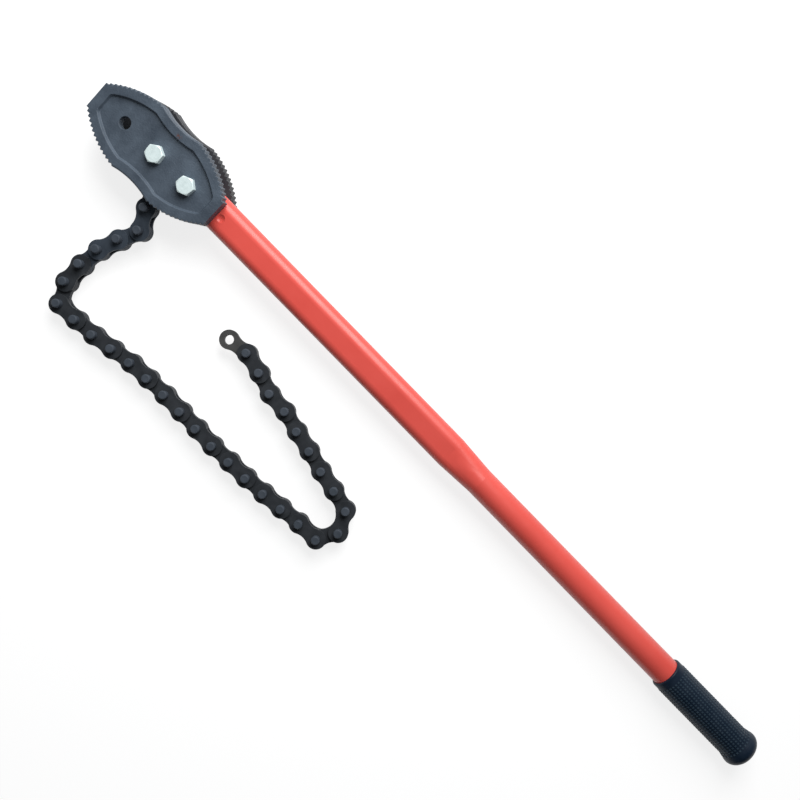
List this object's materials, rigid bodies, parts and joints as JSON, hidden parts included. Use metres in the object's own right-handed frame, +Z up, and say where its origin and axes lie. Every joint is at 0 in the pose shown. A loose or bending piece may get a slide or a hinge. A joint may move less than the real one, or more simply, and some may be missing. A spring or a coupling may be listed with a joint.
{
  "type": "reversible chain pipe and filter wrench",
  "caption": "Long-handled reversible chain wrench for pipes and large filters: two toothed double-ended jaw plates, a loose leaf chain and a tubular handle with a rubber grip.",
  "frame": {"origin": "middle of the free hole in the jaws, half way between the two jaw plates", "axes": "+Z up, square to the bench the wrench lies on; +X along the handle, from the jaws towards the grip, seen from above; +Y across the handle, away from the side where the chain lies"},
  "size_m": [0.9963, 0.2499, 0.0681],
  "materials": {
    "front_jaw_plate": "forged alloy steel, phosphated dark slate grey, matte and finely grained",
    "rear_jaw_plate": "forged alloy steel, phosphated dark slate grey, matte and finely grained",
    "handle_tube": "glossy red enamel over drawn steel tube",
    "handle_tang": "bare mill-finish steel bar",
    "jaw_bolts": "bright zinc plate, slightly mottled",
    "jaw_nuts": "bright zinc plate, slightly mottled",
    "lock_washers": "bright zinc plate, slightly mottled",
    "anchor_spacers": "plain steel",
    "grip": "black moulded grip with a fine raised texture",
    "anchor_plates": "blackened and oiled spring steel",
    "anchor_pin": "blackened hardened steel with a bluish sheen on the ends",
    "link_01_inner": "blackened and oiled spring steel",
    "link_02_plates": "blackened and oiled spring steel",
    "link_02_pins": "blackened hardened steel with a bluish sheen on the ends",
    "link_03_inner": "blackened and oiled spring steel",
    "link_04_plates": "blackened and oiled spring steel",
    "link_04_pins": "blackened hardened steel with a bluish sheen on the ends",
    "link_05_inner": "blackened and oiled spring steel",
    "link_06_plates": "blackened and oiled spring steel",
    "link_06_pins": "blackened hardened steel with a bluish sheen on the ends",
    "link_07_inner": "blackened and oiled spring steel",
    "link_08_plates": "blackened and oiled spring steel",
    "link_08_pins": "blackened hardened steel with a bluish sheen on the ends",
    "link_09_inner": "blackened and oiled spring steel",
    "link_10_plates": "blackened and oiled spring steel",
    "link_10_pins": "blackened hardened steel with a bluish sheen on the ends",
    "link_11_inner": "blackened and oiled spring steel",
    "link_12_plates": "blackened and oiled spring steel",
    "link_12_pins": "blackened hardened steel with a bluish sheen on the ends",
    "link_13_inner": "blackened and oiled spring steel",
    "link_14_plates": "blackened and oiled spring steel",
    "link_14_pins": "blackened hardened steel with a bluish sheen on the ends",
    "link_15_inner": "blackened and oiled spring steel",
    "link_16_plates": "blackened and oiled spring steel",
    "link_16_pins": "blackened hardened steel with a bluish sheen on the ends",
    "link_17_inner": "blackened and oiled spring steel",
    "link_18_plates": "blackened and oiled spring steel",
    "link_18_pins": "blackened hardened steel with a bluish sheen on the ends",
    "link_19_inner": "blackened and oiled spring steel",
    "link_20_plates": "blackened and oiled spring steel",
    "link_20_pins": "blackened hardened steel with a bluish sheen on the ends",
    "link_21_inner": "blackened and oiled spring steel",
    "link_22_plates": "blackened and oiled spring steel",
    "link_22_pins": "blackened hardened steel with a bluish sheen on the ends",
    "link_23_inner": "blackened and oiled spring steel",
    "link_24_plates": "blackened and oiled spring steel",
    "link_24_pins": "blackened hardened steel with a bluish sheen on the ends",
    "link_25_inner": "blackened and oiled spring steel",
    "link_26_plates": "blackened and oiled spring steel",
    "link_26_pins": "blackened hardened steel with a bluish sheen on the ends",
    "link_27_inner": "blackened and oiled spring steel",
    "link_28_plates": "blackened and oiled spring steel",
    "link_28_pins": "blackened hardened steel with a bluish sheen on the ends",
    "link_29_inner": "blackened and oiled spring steel",
    "link_30_plates": "blackened and oiled spring steel",
    "link_30_pins": "blackened hardened steel with a bluish sheen on the ends",
    "link_31_inner": "blackened and oiled spring steel",
    "link_32_plates": "blackened and oiled spring steel",
    "link_32_pins": "blackened hardened steel with a bluish sheen on the ends",
    "link_33_end": "blackened and oiled spring steel"
  },
  "bodies": {
    "handle": {"front_jaw_plate": "front_jaw_plate", "rear_jaw_plate": "rear_jaw_plate", "handle_tube": "handle_tube", "handle_tang": "handle_tang", "jaw_bolts": "jaw_bolts", "jaw_nuts": "jaw_nuts", "lock_washers": "lock_washers", "anchor_spacers": "anchor_spacers", "grip": "grip"},
    "anchor_link": {"anchor_plates": "anchor_plates", "anchor_pin": "anchor_pin"},
    "link_01": {"link_01_inner": "link_01_inner"},
    "link_02": {"link_02_plates": "link_02_plates", "link_02_pins": "link_02_pins"},
    "link_03": {"link_03_inner": "link_03_inner"},
    "link_04": {"link_04_plates": "link_04_plates", "link_04_pins": "link_04_pins"},
    "link_05": {"link_05_inner": "link_05_inner"},
    "link_06": {"link_06_plates": "link_06_plates", "link_06_pins": "link_06_pins"},
    "link_07": {"link_07_inner": "link_07_inner"},
    "link_08": {"link_08_plates": "link_08_plates", "link_08_pins": "link_08_pins"},
    "link_09": {"link_09_inner": "link_09_inner"},
    "link_10": {"link_10_plates": "link_10_plates", "link_10_pins": "link_10_pins"},
    "link_11": {"link_11_inner": "link_11_inner"},
    "link_12": {"link_12_plates": "link_12_plates", "link_12_pins": "link_12_pins"},
    "link_13": {"link_13_inner": "link_13_inner"},
    "link_14": {"link_14_plates": "link_14_plates", "link_14_pins": "link_14_pins"},
    "link_15": {"link_15_inner": "link_15_inner"},
    "link_16": {"link_16_plates": "link_16_plates", "link_16_pins": "link_16_pins"},
    "link_17": {"link_17_inner": "link_17_inner"},
    "link_18": {"link_18_plates": "link_18_plates", "link_18_pins": "link_18_pins"},
    "link_19": {"link_19_inner": "link_19_inner"},
    "link_20": {"link_20_plates": "link_20_plates", "link_20_pins": "link_20_pins"},
    "link_21": {"link_21_inner": "link_21_inner"},
    "link_22": {"link_22_plates": "link_22_plates", "link_22_pins": "link_22_pins"},
    "link_23": {"link_23_inner": "link_23_inner"},
    "link_24": {"link_24_plates": "link_24_plates", "link_24_pins": "link_24_pins"},
    "link_25": {"link_25_inner": "link_25_inner"},
    "link_26": {"link_26_plates": "link_26_plates", "link_26_pins": "link_26_pins"},
    "link_27": {"link_27_inner": "link_27_inner"},
    "link_28": {"link_28_plates": "link_28_plates", "link_28_pins": "link_28_pins"},
    "link_29": {"link_29_inner": "link_29_inner"},
    "link_30": {"link_30_plates": "link_30_plates", "link_30_pins": "link_30_pins"},
    "link_31": {"link_31_inner": "link_31_inner"},
    "link_32": {"link_32_plates": "link_32_plates", "link_32_pins": "link_32_pins"},
    "end_link": {"link_33_end": "link_33_end"}
  },
  "joints": [
    {"name": "anchor_pivot", "type": "hinge", "parent": "handle", "child": "anchor_link", "pos_m": [0.04599, 0, -0.00075], "axis": [-0.016, 0.1685, -0.9856], "range_deg": [-6, 36]},
    {"name": "link_01_pivot", "type": "hinge", "parent": "anchor_link", "child": "link_01", "pos_m": [0.05923, -0.02814, -0.00577], "axis": [0.016, -0.1685, 0.9856], "range_deg": [-36, 13]},
    {"name": "link_02_pivot", "type": "hinge", "parent": "link_01", "child": "link_02", "pos_m": [0.06991, -0.0509, -0.00938], "axis": [0.0125, -0.1313, 0.9913], "range_deg": [-36, 14]},
    {"name": "link_03_pivot", "type": "hinge", "parent": "link_02", "child": "link_03", "pos_m": [0.0816, -0.07324, -0.01248], "axis": [-0.0125, 0.1313, -0.9913], "range_deg": [-14, 36]},
    {"name": "link_04_pivot", "type": "hinge", "parent": "link_03", "child": "link_04", "pos_m": [0.07165, -0.09647, -0.01501], "axis": [0.009, -0.0939, 0.9955], "range_deg": [-36, 14]},
    {"name": "link_05_pivot", "type": "hinge", "parent": "link_04", "child": "link_05", "pos_m": [0.06315, -0.1203, -0.01718], "axis": [-0.009, 0.0939, -0.9955], "range_deg": [-14, 36]},
    {"name": "link_06_pivot", "type": "hinge", "parent": "link_05", "child": "link_06", "pos_m": [0.0607, -0.14552, -0.01906], "axis": [0.0054, -0.0564, 0.9984], "range_deg": [-36, 14]},
    {"name": "link_07_pivot", "type": "hinge", "parent": "link_06", "child": "link_07", "pos_m": [0.06202, -0.17084, -0.0205], "axis": [0.0054, -0.0564, 0.9984], "range_deg": [-36, 14]},
    {"name": "link_08_pivot", "type": "hinge", "parent": "link_07", "child": "link_08", "pos_m": [0.07394, -0.19325, -0.02139], "axis": [0.0018, -0.0188, 0.9998], "range_deg": [-36, 15]},
    {"name": "link_09_pivot", "type": "hinge", "parent": "link_08", "child": "link_09", "pos_m": [0.09933, -0.19237, -0.02142], "axis": [0.0018, -0.0188, 0.9998], "range_deg": [-36, 16]},
    {"name": "link_10_pivot", "type": "hinge", "parent": "link_09", "child": "link_10", "pos_m": [0.12465, -0.19037, -0.02142], "axis": [0, 0, -1], "range_deg": [-17, 36]},
    {"name": "link_11_pivot", "type": "hinge", "parent": "link_10", "child": "link_11", "pos_m": [0.14974, -0.1864, -0.02142], "axis": [0, 0, -1], "range_deg": [-19, 36]},
    {"name": "link_12_pivot", "type": "hinge", "parent": "link_11", "child": "link_12", "pos_m": [0.17483, -0.18243, -0.02142], "axis": [0, 0, -1], "range_deg": [-21, 36]},
    {"name": "link_13_pivot", "type": "hinge", "parent": "link_12", "child": "link_13", "pos_m": [0.20019, -0.1811, -0.02142], "axis": [0, 0, -1], "range_deg": [-23, 36]},
    {"name": "link_14_pivot", "type": "hinge", "parent": "link_13", "child": "link_14", "pos_m": [0.22558, -0.18043, -0.02142], "axis": [0, 0, 1], "range_deg": [-36, 26]},
    {"name": "link_15_pivot", "type": "hinge", "parent": "link_14", "child": "link_15", "pos_m": [0.25098, -0.18065, -0.02142], "axis": [0, 0, 1], "range_deg": [-36, 31]},
    {"name": "link_16_pivot", "type": "hinge", "parent": "link_15", "child": "link_16", "pos_m": [0.27637, -0.18132, -0.02142], "axis": [0, 0, 1], "range_deg": [-36, 37]},
    {"name": "link_17_pivot", "type": "hinge", "parent": "link_16", "child": "link_17", "pos_m": [0.30176, -0.18221, -0.02142], "axis": [0, 0, 1], "range_deg": [-36, 40]},
    {"name": "link_18_pivot", "type": "hinge", "parent": "link_17", "child": "link_18", "pos_m": [0.32713, -0.1811, -0.02142], "axis": [0, 0, -1], "range_deg": [-34, 36]},
    {"name": "link_19_pivot", "type": "hinge", "parent": "link_18", "child": "link_19", "pos_m": [0.35252, -0.18043, -0.02142], "axis": [0, 0, -1], "range_deg": [-28, 36]},
    {"name": "link_20_pivot", "type": "hinge", "parent": "link_19", "child": "link_20", "pos_m": [0.37786, -0.17866, -0.02142], "axis": [0, 0, 1], "range_deg": [-27, 24]},
    {"name": "link_21_pivot", "type": "hinge", "parent": "link_20", "child": "link_21", "pos_m": [0.40314, -0.17623, -0.02142], "axis": [0, 0, -1], "range_deg": [-22, 21]},
    {"name": "link_22_pivot", "type": "hinge", "parent": "link_21", "child": "link_22", "pos_m": [0.42843, -0.17379, -0.02142], "axis": [0, 0, -1], "range_deg": [-19, 18]},
    {"name": "link_23_pivot", "type": "hinge", "parent": "link_22", "child": "link_23", "pos_m": [0.45379, -0.17246, -0.02142], "axis": [0, 0, 1], "range_deg": [-15, 17]},
    {"name": "link_24_pivot", "type": "hinge", "parent": "link_23", "child": "link_24", "pos_m": [0.46572, -0.15004, -0.02142], "axis": [0, 0, 1], "range_deg": [-14, 16]},
    {"name": "link_25_pivot", "type": "hinge", "parent": "link_24", "child": "link_25", "pos_m": [0.45419, -0.1274, -0.02142], "axis": [0, 0, -1], "range_deg": [-17, 15]},
    {"name": "link_26_pivot", "type": "hinge", "parent": "link_25", "child": "link_26", "pos_m": [0.42954, -0.12126, -0.02142], "axis": [0, 0, 1], "range_deg": [-17, 19]},
    {"name": "link_27_pivot", "type": "hinge", "parent": "link_26", "child": "link_27", "pos_m": [0.40461, -0.11641, -0.02142], "axis": [0, 0, 1], "range_deg": [-20, 23]},
    {"name": "link_28_pivot", "type": "hinge", "parent": "link_27", "child": "link_28", "pos_m": [0.37996, -0.11027, -0.02142], "axis": [0, 0, -1], "range_deg": [-27, 23]},
    {"name": "link_29_pivot", "type": "hinge", "parent": "link_28", "child": "link_29", "pos_m": [0.35512, -0.10499, -0.02142], "axis": [0, 0, 1], "range_deg": [-28, 33]},
    {"name": "link_30_pivot", "type": "hinge", "parent": "link_29", "child": "link_30", "pos_m": [0.33042, -0.09906, -0.02142], "axis": [0, 0, -1], "range_deg": [-40, 36]},
    {"name": "link_31_pivot", "type": "hinge", "parent": "link_30", "child": "link_31", "pos_m": [0.30507, -0.09751, -0.02142], "axis": [0, 0, -1], "range_deg": [-40, 36]},
    {"name": "link_32_pivot", "type": "hinge", "parent": "link_31", "child": "link_32", "pos_m": [0.28084, -0.08987, -0.02142], "axis": [0, 0, 1], "range_deg": [-36, 40]},
    {"name": "link_33_pivot", "type": "hinge", "parent": "link_32", "child": "end_link", "pos_m": [0.25604, -0.08437, -0.02142], "axis": [0, 0, -1], "range_deg": [-40, 36]}
  ]
}
